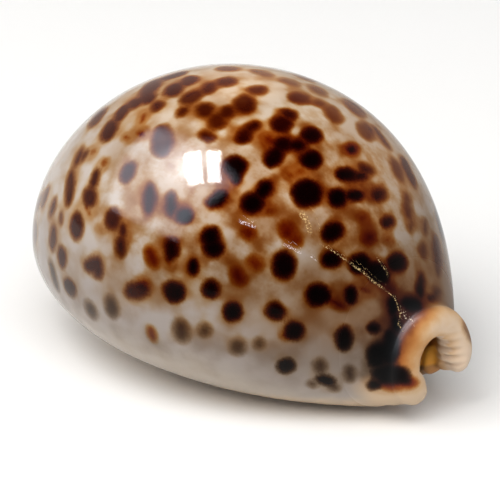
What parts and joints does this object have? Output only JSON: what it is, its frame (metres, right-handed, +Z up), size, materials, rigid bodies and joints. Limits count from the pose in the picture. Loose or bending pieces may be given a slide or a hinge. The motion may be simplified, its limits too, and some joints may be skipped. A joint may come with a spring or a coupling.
{
  "type": "cowrie shell",
  "caption": "Glossy egg-shaped sea shell, hollow, with a domed spotted back, a toothed slit along its flat base and a notch at each end.",
  "frame": {"origin": "under the centre of the shell's bounding box, on the surface it rests on", "axes": "+X toward the siphon (anterior) end, along the slit; -Y is the outer lip's side and +Y the columella's side; +Z up, from the base to the back"},
  "size_m": [0.0848, 0.0607, 0.0464],
  "materials": {
    "glazed_shell": "high gloss natural glaze, cream to tan with dark brown spots, white base"
  },
  "bodies": {
    "root": {"shell": "glazed_shell"}
  },
  "joints": []
}
